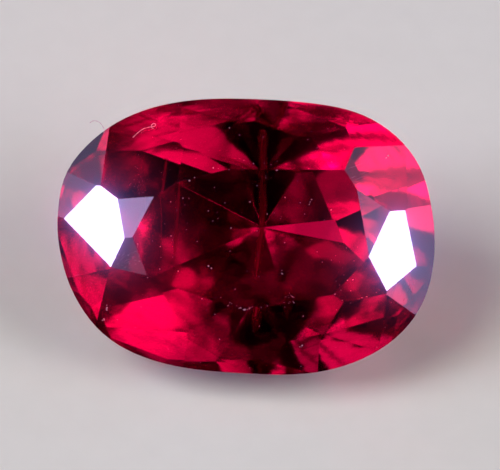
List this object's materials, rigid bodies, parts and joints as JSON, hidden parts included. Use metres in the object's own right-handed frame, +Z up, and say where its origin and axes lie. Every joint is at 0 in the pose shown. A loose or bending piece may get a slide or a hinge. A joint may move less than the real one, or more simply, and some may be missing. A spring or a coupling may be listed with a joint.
{
  "type": "faceted oval sapphire",
  "caption": "Loose oval mixed-cut red sapphire: flat table, faceted crown, thin wavy girdle and a deep pavilion that ends in a point, lying on one pavilion facet.",
  "frame": {"origin": "middle of the stone's box, on the surface that it lies on", "axes": "+X along the stone's length, +Z up; the table faces -Y and up, at 39.5 degrees to the horizontal"},
  "size_m": [0.0142, 0.0092, 0.0082],
  "materials": {
    "red_sapphire": "polished facets, clear deep red crystal with small wear marks"
  },
  "bodies": {
    "root": {"cut_stone": "red_sapphire"}
  },
  "joints": []
}
